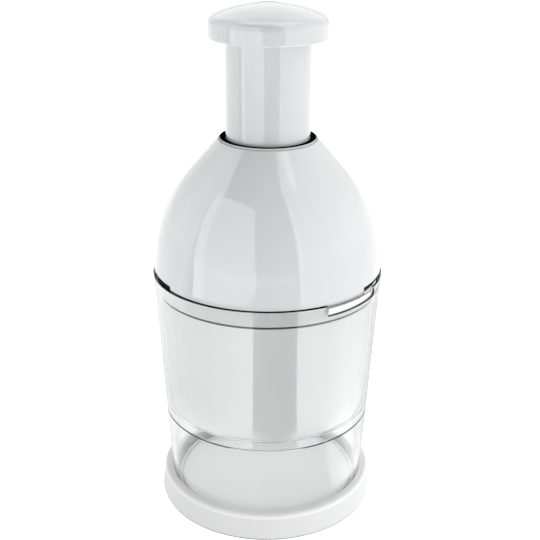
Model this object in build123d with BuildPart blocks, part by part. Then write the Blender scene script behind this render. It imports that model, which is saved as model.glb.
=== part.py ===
from build123d import *
import math
import os

# Push-down vegetable chopper. The origin is on the table under the axis, +Z is up and -Y is the front.

# Clearances between pieces
running_gap = 0.05
fit_gap = 0.05
slide_gap = 0.3
slot_gap = 0.4
overrun = 1.0

# Travel
stroke = 40.4
cut_gap = 0.4
knob_gap = 0.7
plunger_gap = 1.0

# Base with its rubber foot and cutting mat
base_height = 11.8
base_rim = 4.8
base_lean = 1.5
base_edge = 1.4
base_floor = 4.8
base_bottom_edge = 0.4
foot_proud = 0.35
foot_depth = 2.0
foot_width = 3.0
foot_inset = 2.0
foot_lip_inset = 0.3
foot_edge = 0.15
under_recess = 0.8
under_rim = 2.5
groove_floor = 4.8
upstand_top = 7.4
upstand_wall = 1.8
upstand_edge = 0.6
mat_thickness = 2.4
mat_edge = 0.5

# Clear tapered wall of the lower cup and the hopper
seat_radius = 44.7
wall_draft = 3.41
wall = 2.0
cup_reach = 31.8
lip_height = 3.9
lip_wall = 0.9
seam_edge = 0.25
rim_edge = 0.3

# Bayonet between the dome and the hopper
window_start = -60.0
window_angle = 60.0
lug_angle = 34.0
lug_slack = 0.6
lug_rise = 3.1
lug_height = 3.3
lug_inset = 0.9
lug_gap = 0.15
lug_count = 2
stop_gap = 0.12
stop_angle = 24.0

# Dome
dome_setback = 0.6
dome_draft = 7.0
dome_cone = 41.7
dome_bend_share = 0.693
dome_wall = 2.2
dome_edge = 0.6
rim_gap = 2.4
skirt_depth = 9.8
skirt_wall = 2.3
skirt_gap = 0.4
skirt_edge = 0.5
shoulder_height = 2.2
seal_width = 1.45
seal_gap = 0.1
drip_lip_height = 2.0
drip_lip_width = 0.35
drip_lip_start = -145.0
drip_lip_angle = 110.0
neck_gap = 2.65
neck_depth = 16.7
neck_length = 18.0
neck_wall = 2.2
bush_recess = 0.15
bush_gap = 3.0
bush_flange = 2.0

# Bridge plate across the dome
bridge_gap = 0.4
bridge_thickness = 3.0
bridge_inset = 0.8
bridge_boss_height = 8.0
bridge_hub = 21.0
bridge_rim = 9.5
spoke_width = 12.0
spoke_count = 4
window_corner = 2.0
boss_radius = 3.0
boss_height = 11.0
bridge_screw_margin = 3.1
bridge_screw_shank = 1.4
bridge_screw_length = 9.0
bridge_screw_head = 2.7
bridge_screw_head_height = 1.8

# Ratchet that turns the blades
tooth_count = 12
tooth_height = 3.0
tooth_inner = 9.0
tooth_width = 6.4
ring_seat = 1.5
drive_gap = 0.5
drive_back = 2.0
crown_plate = 2.0
crown_flange = 4.6
crown_screw_count = 3
crown_screw_shank = 1.0
crown_screw_head = 1.8
crown_screw_head_height = 1.4
crown_screw_reach = 2.0

# Blades and their holder
blade_thickness = 0.6
blade_margin = 2.4
blade_swing = 4.2
blade_spacing = 17.5
blade_bend = 1.6
blade_bevel = 1.6
blade_tip = 0.12
blade_set = 4.0
centre_corners = 7
side_corners = 6
slot_recess = 0.5
holder_gap = 0.6
holder_side_gap = 1.0
holder_thickness = 4.5
holder_edge = 0.8
hub_rise = 2.4
pocket_rise = 0.2

# Wiper sleeve, its slotted plate and the ring that carries it
sleeve_clearance = 0.6
sleeve_wall = 1.4
sleeve_edge = 0.4
sleeve_lip = 1.2
sleeve_lip_width = 1.3
wiper_floor = 2.5
flange_thickness = 1.6
flange_gap_above = 0.7
flange_gap_below = 0.2
wiper_ring_lip = 2.3
wiper_ring_wall = 1.6
wiper_ring_inset = 1.8
wiper_ring_rise = 3.5
wiper_ring_edge = 0.4

# Spindle and the pieces on its foot
spindle_radius = 4.0
spindle_end_gap = 0.3
clip_thickness = 0.7
clip_radius = 6.4
clip_groove = 0.8
clip_mouth = 4.4
washer_thickness = 0.8
washer_radius = 7.2
pocket_gap = 0.6

# Plunger and knob
plunger_radius = 18.0
plunger_wall = 2.0
plunger_edge = 0.5
plunger_web = 3.0
plunger_web_drop = 4.0
rib_height = 6.0
rib_width = 5.0
rib_proud = 0.9
rib_stop_gap = 0.4
rib_count = 2
knob_radius = 25.0
knob_height = 14.2
knob_crown = 56.5
knob_shoulder = 4.2
knob_edge = 1.0
knob_wall = 2.4
knob_hollow = 6.0
socket_depth = 4.0
socket_wall = 1.8
plug_radius = 4.1
plug_thickness = 1.5
plug_drop = 0.25
plug_edge = 0.3
knob_screw_shank = 2.0
knob_screw_length = 10.0
knob_screw_head = 3.4
knob_screw_head_height = 2.0
knob_screw_floor = 3.2
tapped_depth = 8.0

# Return spring, inside the plunger and round the spindle
spring_wire = 2.0
spring_side_gap = 2.6
spring_turns = 11
spring_end_turns = 1
spring_end_gap = 0.6
spring_washer_width = 3.6

# Levels above the table, worked up from the base
mat_top = base_floor + mat_thickness
seam_level = base_height + cup_reach
blade_edge = mat_top + cut_gap + stroke
sleeve_foot = blade_edge - slot_recess
plate_top = sleeve_foot + wiper_floor
holder_bottom = plate_top + holder_gap + stroke
holder_top = holder_bottom + holder_thickness
hub_top = holder_top + hub_rise
tooth_root = hub_top + crown_plate
tooth_tip = tooth_root + tooth_height
drive_tip = tooth_tip + drive_gap
drive_root = drive_tip + tooth_height
drive_top = drive_root + drive_back
bridge_bottom = drive_top + bridge_gap
bridge_top = bridge_bottom + bridge_thickness
dome_bottom = bridge_top + bridge_inset
hopper_top = dome_bottom - rim_gap
skirt_bottom = dome_bottom - skirt_depth
plunger_bottom = bridge_top + plunger_gap + stroke
dome_top = plunger_bottom + neck_depth
knob_bottom = dome_top + stroke + knob_gap
knob_top = knob_bottom + knob_height
web_bottom = knob_bottom - plunger_web_drop
tube_top = knob_bottom + socket_depth
flange_top = skirt_bottom - flange_gap_above
flange_bottom = flange_top - flange_thickness
ring_lip_top = flange_bottom - flange_gap_below
ring_bottom = ring_lip_top - wiper_ring_lip
lug_bottom = skirt_bottom + lug_rise
lug_top = lug_bottom + lug_height


def wall_radius(level):
    """Outer radius of the clear tapered wall at a level."""
    return seat_radius + (level - base_height) * math.tan(math.radians(wall_draft))


def sleeve_radius(level):
    """Outer radius of the wiper sleeve, which follows the inside of the clear wall, at a level."""
    return wall_radius(level) - wall - sleeve_clearance


# Radii, worked out from the clear wall and the plunger
base_radius = seat_radius + base_rim
foot_outer = base_radius - foot_inset
foot_inner = foot_outer - foot_width
upstand_outer = wall_radius(groove_floor) - wall - fit_gap
upstand_inner = upstand_outer - upstand_wall
mat_radius = upstand_inner - slide_gap
lip_inner = wall_radius(seam_level) - wall
lip_outer = lip_inner + lip_wall
rebate_radius = lip_outer + slide_gap
rim_radius = wall_radius(hopper_top)
skirt_radius = wall_radius(skirt_bottom) - wall - skirt_gap
skirt_inner = skirt_radius - skirt_wall
lug_radius = wall_radius(lug_bottom) - lug_inset
dome_radius = rim_radius - dome_setback
seal_radius = skirt_radius + seal_width
drip_lip_radius = seal_radius + fit_gap + drip_lip_width
tube_inner = plunger_radius - plunger_wall
rib_radius = plunger_radius + rib_proud
hole_radius = plunger_radius + neck_gap
bush_outer = hole_radius - fit_gap
bush_inner = plunger_radius + slide_gap
bridge_radius = skirt_inner - slide_gap
bridge_screw_circle = bridge_radius - bridge_screw_margin
tooth_outer = tooth_inner + tooth_width
tooth_middle = (tooth_inner + tooth_outer) / 2
drive_outer = tooth_middle - slide_gap / 2
ring_inner = tooth_middle + slide_gap / 2
crown_radius = tooth_outer + crown_flange
crown_screw_circle = tooth_outer + crown_flange / 2
plate_lip_radius = sleeve_radius(sleeve_foot) - sleeve_wall
sleeve_lip_inner = plate_lip_radius - sleeve_lip_width
holder_radius = plate_lip_radius - holder_side_gap
blade_reach = sleeve_lip_inner - blade_margin
spring_radius = tube_inner - spring_side_gap - spring_wire / 2
spring_boss = spring_radius - spring_wire / 2 - slot_gap
wiper_neck_radius = skirt_inner - wiper_ring_inset
wiper_bore_radius = wiper_neck_radius - wiper_ring_wall
wiper_lip_radius = sleeve_radius(flange_bottom) - sleeve_wall - slot_gap
flange_inner = wiper_neck_radius + slide_gap


def band(inner, outer, low, high, mode=Mode.ADD):
    """Section of a ring between two radii and two levels."""
    with Locations(((inner + outer) / 2, (low + high) / 2)):
        Rectangle(outer - inner, high - low, mode=mode)


def radial_plane(direction):
    """Upright plane through the axis, turned to a direction in degrees from +X."""
    angle = math.radians(direction)
    return Plane((0, 0, 0), x_dir=(math.cos(angle), math.sin(angle), 0),
                 z_dir=(math.sin(angle), -math.cos(angle), 0))


def ring(inner, outer, low, high, mode=Mode.ADD):
    """Ring or disc between two radii and two levels."""
    with BuildSketch(Plane.XZ) as section:
        band(inner, outer, low, high)
    revolve(section.sketch, axis=Axis.Z, mode=mode)


def ring_sector(inner, outer, low, high, start, turn, mode=Mode.ADD):
    """Stretch of a ring from a start direction through a turn, both in degrees."""
    with BuildSketch(radial_plane(start)) as section:
        band(inner, outer, low, high)
    revolve(section.sketch, axis=Axis.Z, revolution_arc=turn, mode=mode)


def tooth(inner, outer, heel, toe, back):
    """One saw tooth about +X: its ramp climbs from heel to toe, and it stands on the level of its back."""
    half = math.radians(180 / tooth_count)
    sections = []
    for reach in (inner, outer * math.cos(half)):
        span = reach * math.tan(half)
        with BuildSketch(Plane((reach, 0, 0), x_dir=(0, 1, 0), z_dir=(1, 0, 0))) as section:
            with BuildLine():
                Polyline((-span, heel), (span, toe), (span, back), (-span, back), close=True)
            make_face()
        sections.append(section.sketch)
    return loft(sections, ruled=True, mode=Mode.PRIVATE)


def teeth(inner, outer, heel, toe, back, start=0):
    """Ring of saw teeth, turned by a start angle."""
    one = tooth(inner, outer, heel, toe, back)
    with PolarLocations(0, tooth_count, start_angle=start):
        add(one)


def screw(shank, length, head, head_height, seat, up):
    """Pan-head screw on the axis whose head bears on the level of its seat; up is 1 or -1."""
    crown = seat - up * head_height
    tip = seat + up * length
    with BuildSketch(Plane.XZ) as section:
        with BuildLine():
            FilletPolyline((0, crown), (head, crown), (head, seat), (shank, seat), (shank, tip), (0, tip),
                           radius=[0, head_height / 2, 0, 0, 0, 0], close=True)
        make_face()
    return revolve(section.sketch, axis=Axis.Z, mode=Mode.PRIVATE)


# White base: floor, locating ring, groove for the clear cup and rounded rim
with BuildPart() as base_cup:
    with BuildSketch(Plane.XZ):
        with BuildLine():
            FilletPolyline(
                (0, foot_proud + under_recess),
                (foot_inner - under_rim, foot_proud + under_recess),
                (foot_inner - under_rim, foot_proud),
                (base_radius, foot_proud),
                (base_radius - base_lean, base_height),
                (wall_radius(base_height) + fit_gap, base_height),
                (wall_radius(groove_floor) + fit_gap, groove_floor),
                (upstand_outer, groove_floor),
                (upstand_outer, upstand_top),
                (upstand_inner, upstand_top),
                (upstand_inner, base_floor),
                (0, base_floor),
                radius=[0, 0, 0, base_bottom_edge, base_edge, 0, 0, 0, upstand_edge, upstand_edge, 0, 0],
                close=True)
        make_face()
    revolve(axis=Axis.Z)
    ring(foot_inner, foot_outer, 0, foot_proud + foot_depth, mode=Mode.SUBTRACT)
base_cup.part.label = "base_cup"

# Soft disc that the blades come down on
with BuildPart() as cutting_mat:
    ring(0, mat_radius, base_floor, mat_top)
    chamfer(cutting_mat.edges().group_by(Axis.Z)[-1], mat_edge)
cutting_mat.part.label = "cutting_mat"

# Rubber ring that the chopper stands on, with a lip under the base's edge
with BuildPart() as foot_ring:
    with BuildSketch(Plane.XZ):
        band(foot_inner, foot_outer, 0, foot_proud + foot_depth)
        band(foot_inner, base_radius - foot_lip_inset, 0, foot_proud)
    revolve(axis=Axis.Z)
    fillet(foot_ring.edges().group_by(Axis.Z)[0], foot_edge)
foot_ring.part.label = "foot_ring"

# Clear cup wall, with the lip that the hopper drops over
with BuildPart() as lower_cup:
    with BuildSketch(Plane.XZ):
        with BuildLine():
            Polyline(
                (wall_radius(groove_floor) - wall, groove_floor),
                (wall_radius(groove_floor), groove_floor),
                (wall_radius(seam_level), seam_level),
                (lip_outer, seam_level),
                (lip_outer, seam_level + lip_height),
                (lip_inner, seam_level + lip_height),
                (lip_inner, seam_level),
                close=True)
        make_face()
    revolve(axis=Axis.Z)
    seam = lower_cup.edges().filter_by_position(Axis.Z, seam_level, seam_level).sort_by(SortBy.RADIUS)[-1]
    chamfer(seam, seam_edge)
lower_cup.part.label = "lower_cup"

# Clear hopper: tapered wall, rebate over the cup's lip, bayonet grooves with a window where the lugs rest
with BuildPart() as hopper:
    rebate_top = seam_level + lip_height + slide_gap
    with BuildSketch(Plane.XZ):
        with BuildLine():
            FilletPolyline(
                (rebate_radius, seam_level),
                (wall_radius(seam_level), seam_level),
                (rim_radius, hopper_top),
                (rim_radius - wall, hopper_top),
                (wall_radius(rebate_top) - wall, rebate_top),
                (rebate_radius, rebate_top),
                radius=[0, 0, rim_edge, rim_edge, 0, 0],
                close=True)
        make_face()
    revolve(axis=Axis.Z)
    seam = hopper.edges().filter_by_position(Axis.Z, seam_level, seam_level).sort_by(SortBy.RADIUS)[-1]
    chamfer(seam, seam_edge)
    for number in range(lug_count):
        start = window_start + number * 360 / lug_count
        entry = lug_angle + 2 * lug_slack
        groove_bottom = lug_bottom - slide_gap
        groove_top = lug_top + lug_gap
        groove_radius = lug_radius + slide_gap
        ring_sector(skirt_radius, groove_radius, groove_bottom, groove_top,
                    start, window_angle, mode=Mode.SUBTRACT)
        ring_sector(skirt_radius, rim_radius + overrun, groove_bottom, groove_top,
                    start, entry, mode=Mode.SUBTRACT)
        ring_sector(skirt_radius, groove_radius, lug_top, hopper_top + overrun,
                    start + window_angle - entry, entry, mode=Mode.SUBTRACT)
hopper.part.label = "hopper"


def dome_side(inset):
    """Foot, corner and head of the dome's side, moved in square to the wall by an inset."""
    lean = math.tan(math.radians(dome_draft))
    slope = math.tan(math.radians(dome_cone))
    foot = dome_radius - inset / math.cos(math.radians(dome_draft))
    head = hole_radius - inset / math.cos(math.radians(dome_cone))
    rise = (head + (dome_top - dome_bottom) * slope - foot) / (slope - lean)
    return (foot, dome_bottom), (foot - rise * lean, dome_bottom + rise), (head, dome_top)


def dome_face(inset, mode=Mode.ADD):
    """Half section of the dome from its axis to its side, whose bend fills a share of the shorter line."""
    foot, corner, head = dome_side(0)
    shorter = min(math.dist(foot, corner), math.dist(corner, head))
    dome_bend = dome_bend_share * shorter / math.tan(math.radians(dome_cone - dome_draft) / 2)
    with BuildLine() as outline:
        side = FilletPolyline(*dome_side(inset), radius=dome_bend - inset)
        Polyline(side @ 1, (0, dome_top), (0, dome_bottom), side @ 0)
    make_face(outline.edges(), mode=mode)


# White dome: shell, neck that holds the bush, skirt with the bayonet lugs and bosses for the bridge
with BuildPart() as dome_shell:
    neck_bottom = dome_top - neck_length
    with BuildSketch(Plane.XZ):
        dome_face(0)
        dome_face(dome_wall, mode=Mode.SUBTRACT)
        band(hole_radius, hole_radius + neck_wall, neck_bottom, dome_top)
        band(skirt_inner, dome_radius, dome_bottom, dome_bottom + shoulder_height)
        dome_face(0, mode=Mode.INTERSECT)
        band(0, hole_radius, dome_bottom + shoulder_height, dome_top + overrun, mode=Mode.SUBTRACT)
        band(skirt_inner, skirt_radius, skirt_bottom, dome_bottom + shoulder_height)
    revolve(axis=Axis.Z)
    mouth = dome_shell.edges().filter_by_position(Axis.Z, dome_top, dome_top)
    fillet(mouth, dome_edge)
    skirt_foot = dome_shell.edges().group_by(Axis.Z)[0].sort_by(SortBy.RADIUS)[-1]
    fillet(skirt_foot, skirt_edge)
    for number in range(lug_count):
        turn = number * 360 / lug_count
        ring_sector(skirt_radius - skirt_wall / 2, lug_radius, lug_bottom, lug_top,
                    window_start + lug_slack + turn, lug_angle)
        ring_sector(seal_radius + fit_gap, drip_lip_radius, dome_bottom - drip_lip_height,
                    dome_bottom + drip_lip_height, drip_lip_start + turn, drip_lip_angle)
        ring_sector(seal_radius + fit_gap, drip_lip_radius, hopper_top + stop_gap,
                    dome_bottom + drip_lip_height, window_start + turn, stop_angle)
    boss_reach = skirt_radius - skirt_wall / 2 - bridge_screw_circle
    with BuildSketch(Plane.XY.offset(bridge_top)):
        with PolarLocations(bridge_screw_circle, spoke_count, start_angle=180 / spoke_count):
            Circle(boss_radius)
            with Locations((boss_reach / 2, 0)):
                Rectangle(boss_reach, 2 * boss_radius)
    extrude(amount=boss_height)
    with BuildSketch(Plane.XY.offset(bridge_top)):
        with PolarLocations(bridge_screw_circle, spoke_count, start_angle=180 / spoke_count):
            Circle(bridge_screw_shank + fit_gap)
    extrude(amount=bridge_screw_length, mode=Mode.SUBTRACT)
dome_shell.part.label = "dome_shell"

# Dark ring that fills the gap between the dome and the hopper
with BuildPart() as lid_seal:
    ring(skirt_radius + fit_gap, seal_radius, hopper_top + seal_gap, dome_bottom)
lid_seal.part.label = "lid_seal"

# Dark bush in the dome's neck: guides the plunger, and its keyways hold the plunger's ribs
with BuildPart() as neck_bush:
    bush_bottom = bridge_top + bush_gap
    key_top = plunger_bottom + rib_height + rib_stop_gap
    key_radius = rib_radius + slide_gap
    with BuildSketch(Plane.XZ):
        band(bush_inner, bush_outer, bush_bottom, dome_top - bush_recess)
        band(bush_inner, hole_radius + neck_wall, neck_bottom - bush_flange, neck_bottom)
    revolve(axis=Axis.Z)
    with BuildSketch(Plane.XY.offset(bush_bottom)):
        with PolarLocations((tube_inner + key_radius) / 2, rib_count):
            Rectangle(key_radius - tube_inner, rib_width + 2 * slide_gap)
        Circle(key_radius, mode=Mode.INTERSECT)
    extrude(amount=key_top - bush_bottom, mode=Mode.SUBTRACT)
neck_bush.part.label = "neck_bush"

# Plate across the dome, with windows, a spring boss and a groove for the index ring
with BuildPart() as bridge_plate:
    ring(0, bridge_radius, bridge_bottom, bridge_top)
    ring(0, spring_boss, bridge_top, bridge_top + bridge_boss_height)
    with BuildSketch(Plane.XY.offset(bridge_bottom)) as windows:
        Circle(bridge_radius - bridge_rim)
        Circle(bridge_hub, mode=Mode.SUBTRACT)
        with PolarLocations(0, spoke_count, start_angle=180 / spoke_count):
            with Locations((bridge_radius / 2, 0)):
                Rectangle(bridge_radius, spoke_width, mode=Mode.SUBTRACT)
        fillet(windows.vertices(), window_corner)
    extrude(amount=bridge_thickness, mode=Mode.SUBTRACT)
    ring(ring_inner - fit_gap, tooth_outer + fit_gap, bridge_bottom, bridge_bottom + ring_seat,
         mode=Mode.SUBTRACT)
    ring(0, spindle_radius + running_gap, bridge_bottom, bridge_top + bridge_boss_height, mode=Mode.SUBTRACT)
    with BuildSketch(Plane.XY.offset(bridge_bottom)):
        with PolarLocations(bridge_screw_circle, spoke_count, start_angle=180 / spoke_count):
            Circle(bridge_screw_shank + fit_gap)
    extrude(amount=bridge_thickness, mode=Mode.SUBTRACT)
bridge_plate.part.label = "bridge_plate"

# Screws that hold the bridge plate up against the dome's bosses
with BuildPart() as bridge_screws:
    bridge_screw = screw(bridge_screw_shank, bridge_screw_length, bridge_screw_head,
                         bridge_screw_head_height, bridge_bottom, up=1)
    with PolarLocations(bridge_screw_circle, spoke_count, start_angle=180 / spoke_count):
        add(bridge_screw)
bridge_screws.part.label = "bridge_screws"

# Fixed saw teeth under the bridge plate, just clear of the crown while the blades hang on their washer
with BuildPart() as index_ring:
    ring(ring_inner, tooth_outer, drive_root, bridge_bottom + ring_seat)
    teeth(ring_inner, tooth_outer, drive_tip, drive_root, drive_root + drive_back / 2)
index_ring.part.label = "index_ring"

# Ring set in the skirt, whose lip carries the sleeve's flange from inside
with BuildPart() as wiper_ring:
    with BuildSketch(Plane.XZ):
        band(wiper_bore_radius, skirt_inner - fit_gap, skirt_bottom, skirt_bottom + wiper_ring_rise)
        band(wiper_bore_radius, wiper_neck_radius, ring_bottom, skirt_bottom + wiper_ring_rise)
        band(wiper_bore_radius, wiper_lip_radius, ring_bottom, ring_lip_top)
    revolve(axis=Axis.Z)
    chamfer(wiper_ring.edges().group_by(Axis.Z)[0].sort_by(SortBy.RADIUS)[-1], wiper_ring_edge)
wiper_ring.part.label = "wiper_ring"

# White sleeve in the hopper, with the lip that holds the slotted plate
with BuildPart() as wiper_sleeve:
    with BuildSketch(Plane.XZ):
        with BuildLine():
            Polyline(
                (sleeve_lip_inner, sleeve_foot),
                (sleeve_radius(sleeve_foot), sleeve_foot),
                (sleeve_radius(flange_top), flange_top),
                (flange_inner, flange_top),
                (flange_inner, flange_bottom),
                (sleeve_radius(flange_bottom) - sleeve_wall, flange_bottom),
                (plate_lip_radius, sleeve_foot + sleeve_lip),
                (sleeve_lip_inner, sleeve_foot + sleeve_lip),
                close=True)
        make_face()
    revolve(axis=Axis.Z)
    for rim in (wiper_sleeve.edges().group_by(Axis.Z)[0], wiper_sleeve.edges().group_by(Axis.Z)[-1]):
        fillet(rim.sort_by(SortBy.RADIUS)[-1], sleeve_edge)
wiper_sleeve.part.label = "wiper_sleeve"


def zigzag(corners, offset):
    """Corners of one zig-zag strip that runs along X at an offset in Y, inside the blades' reach."""
    reach = math.sqrt(blade_reach ** 2 - (abs(offset) + blade_swing) ** 2)
    step = 2 * reach / (corners - 1)
    return [(i * step - reach, offset + (blade_swing if i % 2 else -blade_swing)) for i in range(corners)]


strips = {
    "blade_centre": zigzag(centre_corners, 0),
    "blade_front": zigzag(side_corners, -blade_spacing),
    "blade_back": zigzag(side_corners, blade_spacing),
}


def strip_sketch(corners, thickness, level):
    """Plan of a zig-zag strip of a thickness, at a level."""
    with BuildSketch(Plane.XY.offset(level)) as plan:
        with BuildLine():
            FilletPolyline(corners, radius=blade_bend)
        trace(line_width=thickness)
    return plan.sketch


# Slotted floor of the sleeve: the blades run in its slots, and it wipes them clean
with BuildPart() as wiper_plate:
    with BuildSketch(Plane.XZ):
        band(0, sleeve_lip_inner - slide_gap, sleeve_foot, plate_top)
        band(0, plate_lip_radius - fit_gap, sleeve_foot + sleeve_lip, plate_top)
    revolve(axis=Axis.Z)
    for corners in strips.values():
        with BuildSketch(Plane.XY.offset(sleeve_foot)):
            with BuildLine():
                FilletPolyline(corners, radius=blade_bend)
            trace(line_width=blade_thickness)
            offset(amount=slot_gap, kind=Kind.INTERSECTION)
        extrude(amount=wiper_floor, mode=Mode.SUBTRACT)
wiper_plate.part.label = "wiper_plate"

# Disc that the strips are set in, with a hub and a pocket for the spindle's foot
with BuildPart() as blade_holder:
    ring(0, holder_radius, holder_bottom, holder_top)
    chamfer(blade_holder.edges().group_by(Axis.Z)[-1], holder_edge)
    ring(0, crown_radius, holder_top, hub_top)
    ring(0, washer_radius + pocket_gap, holder_top + pocket_rise, hub_top, mode=Mode.SUBTRACT)
    for corners in strips.values():
        with BuildSketch(Plane.XY.offset(holder_bottom)):
            with BuildLine():
                FilletPolyline(corners, radius=blade_bend)
            trace(line_width=blade_thickness)
            offset(amount=fit_gap, kind=Kind.INTERSECTION)
        extrude(amount=blade_set, mode=Mode.SUBTRACT)
    with BuildSketch(Plane.XY.offset(hub_top)):
        with PolarLocations(crown_screw_circle, crown_screw_count):
            Circle(crown_screw_shank + fit_gap)
    extrude(amount=-crown_screw_reach, mode=Mode.SUBTRACT)
blade_holder.part.label = "blade_holder"

# Saw-toothed crown on the holder
with BuildPart() as index_crown:
    ring(spindle_radius + running_gap, crown_radius, hub_top, tooth_root)
    teeth(tooth_inner, tooth_outer, tooth_root, tooth_tip, hub_top + crown_plate / 2)
    with BuildSketch(Plane.XY.offset(hub_top)):
        with PolarLocations(crown_screw_circle, crown_screw_count):
            Circle(crown_screw_shank + fit_gap)
    extrude(amount=crown_plate, mode=Mode.SUBTRACT)
index_crown.part.label = "index_crown"

# Screws that hold the crown on the holder
with BuildPart() as crown_screws:
    crown_screw = screw(crown_screw_shank, crown_plate + crown_screw_reach, crown_screw_head,
                        crown_screw_head_height, tooth_root, up=-1)
    with PolarLocations(crown_screw_circle, crown_screw_count):
        add(crown_screw)
crown_screws.part.label = "crown_screws"


def blade_strip(corners):
    """Zig-zag steel strip with a ground edge below."""
    with BuildPart() as strip:
        add(strip_sketch(corners, blade_thickness, blade_edge + blade_bevel))
        extrude(amount=holder_bottom + blade_set - blade_edge - blade_bevel)
        loft([strip_sketch(corners, blade_tip, blade_edge),
              strip_sketch(corners, blade_thickness, blade_edge + blade_bevel)], ruled=True)
    return strip.part


blades = {name: blade_strip(corners) for name, corners in strips.items()}
for name, strip in blades.items():
    strip.label = name

# Steel rod from the blades to the knob, grooved for its clip and tapped for the knob's screw
with BuildPart() as spindle:
    spindle_bottom = holder_top + pocket_rise + spindle_end_gap
    washer_top = hub_top - fit_gap
    clip_top = washer_top - washer_thickness
    clip_bottom = clip_top - clip_thickness
    screw_seat = knob_top - plug_drop - plug_thickness - knob_screw_head_height
    spindle_top = screw_seat - knob_screw_floor
    ring(0, spindle_radius, spindle_bottom, spindle_top)
    ring(spindle_radius - clip_groove, spindle_radius, clip_bottom, clip_top, mode=Mode.SUBTRACT)
    ring(0, knob_screw_shank + fit_gap, spindle_top - tapped_depth, spindle_top, mode=Mode.SUBTRACT)
spindle.part.label = "spindle"

# Washer that lifts the blade set, and the clip that holds it on the spindle
with BuildPart() as thrust_washer:
    ring(spindle_radius + running_gap, washer_radius, clip_top, washer_top)
thrust_washer.part.label = "thrust_washer"

with BuildPart() as spindle_clip:
    ring(spindle_radius - clip_groove + fit_gap, clip_radius, clip_bottom, clip_top)
    with BuildSketch(Plane.XY.offset(clip_bottom)):
        with Locations((clip_radius / 2, 0)):
            Rectangle(clip_radius + overrun, clip_mouth)
    extrude(amount=clip_thickness, mode=Mode.SUBTRACT)
spindle_clip.part.label = "spindle_clip"

# Saw teeth on the spindle, half a tooth out of step, which turn the crown on the down stroke
with BuildPart() as drive_crown:
    ring(spindle_radius + fit_gap, drive_outer, drive_root, drive_top)
    teeth(tooth_inner, drive_outer, drive_tip, drive_root, drive_root + drive_back / 2, 180 / tooth_count)
drive_crown.part.label = "drive_crown"

# White tube of the plunger, with its web over the spring and its guide ribs
with BuildPart() as plunger_tube:
    with BuildSketch(Plane.XZ):
        band(tube_inner, plunger_radius, plunger_bottom, tube_top)
        band(spindle_radius + fit_gap, plunger_radius, web_bottom, web_bottom + plunger_web)
    revolve(axis=Axis.Z)
    fillet(plunger_tube.edges().group_by(Axis.Z)[0], plunger_edge)
    with BuildSketch(Plane.XY.offset(plunger_bottom + plunger_edge)):
        with PolarLocations((tube_inner + rib_radius) / 2, rib_count):
            Rectangle(rib_radius - tube_inner, rib_width)
        Circle(rib_radius, mode=Mode.INTERSECT)
        Circle(tube_inner, mode=Mode.SUBTRACT)
    extrude(amount=rib_height - plunger_edge)
plunger_tube.part.label = "plunger_tube"

# White mushroom knob: crowned top, hollow rim, socket for the tube and seat for the screw and its plug
with BuildPart() as knob:
    crown_drop = knob_crown - math.sqrt(knob_crown ** 2 - knob_radius ** 2)
    spigot_bottom = web_bottom + plunger_web
    with BuildSketch(Plane.XZ) as knob_section:
        with BuildLine():
            crown = RadiusArc((knob_radius, knob_top - crown_drop), (0, knob_top), -knob_crown)
            Polyline(crown @ 1, (0, knob_bottom), (knob_radius, knob_bottom), crown @ 0)
        make_face()
        rim_corners = knob_section.vertices().group_by(Axis.X)[-1].sort_by(Axis.Y)
        fillet(rim_corners[0], knob_edge)
        rim_corners = knob_section.vertices().group_by(Axis.Y)[-2]
        fillet(rim_corners, knob_shoulder)
        band(0, tube_inner - fit_gap, spigot_bottom, knob_bottom)
        band(tube_inner - fit_gap, plunger_radius + fit_gap, knob_bottom, tube_top, mode=Mode.SUBTRACT)
        band(plunger_radius + socket_wall, knob_radius - knob_wall, knob_bottom, knob_bottom + knob_hollow,
             mode=Mode.SUBTRACT)
        band(0, spindle_radius + fit_gap, spigot_bottom, spindle_top, mode=Mode.SUBTRACT)
        band(0, knob_screw_shank + fit_gap, spindle_top, screw_seat, mode=Mode.SUBTRACT)
        band(0, plug_radius + fit_gap, screw_seat, knob_top, mode=Mode.SUBTRACT)
    revolve(axis=Axis.Z)
knob.part.label = "knob"

# Screw down through the knob into the spindle, and the plug that hides it
with BuildPart() as knob_screw:
    add(screw(knob_screw_shank, knob_screw_length, knob_screw_head, knob_screw_head_height,
              screw_seat, up=-1))
knob_screw.part.label = "knob_screw"

with BuildPart() as knob_plug:
    ring(0, plug_radius, knob_top - plug_drop - plug_thickness, knob_top - plug_drop)
    fillet(knob_plug.edges().group_by(Axis.Z)[-1], plug_edge)
knob_plug.part.label = "knob_plug"

# Steel washers at both ends of the spring
with BuildPart() as spring_washer:
    ring(spring_boss + fit_gap, spring_boss + spring_washer_width, bridge_top, bridge_top + washer_thickness)
spring_washer.part.label = "spring_washer"

with BuildPart() as spring_cap:
    ring(spindle_radius + slide_gap, spring_radius + spring_wire, web_bottom - washer_thickness, web_bottom)
spring_cap.part.label = "spring_cap"

# Return spring: closed turns at both ends and open turns between
spring_low = bridge_top + washer_thickness + spring_wire / 2
spring_high = web_bottom - washer_thickness - spring_wire / 2
end_pitch = spring_wire + spring_end_gap
open_turns = spring_turns - 2 * spring_end_turns
open_pitch = (spring_high - spring_low - 2 * spring_end_turns * end_pitch) / open_turns


def spring_height(turn):
    """Level of the wire's middle after a number of turns."""
    closed = min(turn, spring_end_turns) + max(0, turn - spring_end_turns - open_turns)
    opened = min(max(0, turn - spring_end_turns), open_turns)
    return spring_low + closed * end_pitch + opened * open_pitch


def spring_point(turn):
    """Middle of the wire after a number of turns."""
    angle = 2 * math.pi * turn
    return Vector(spring_radius * math.cos(angle), spring_radius * math.sin(angle), spring_height(turn))


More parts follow.
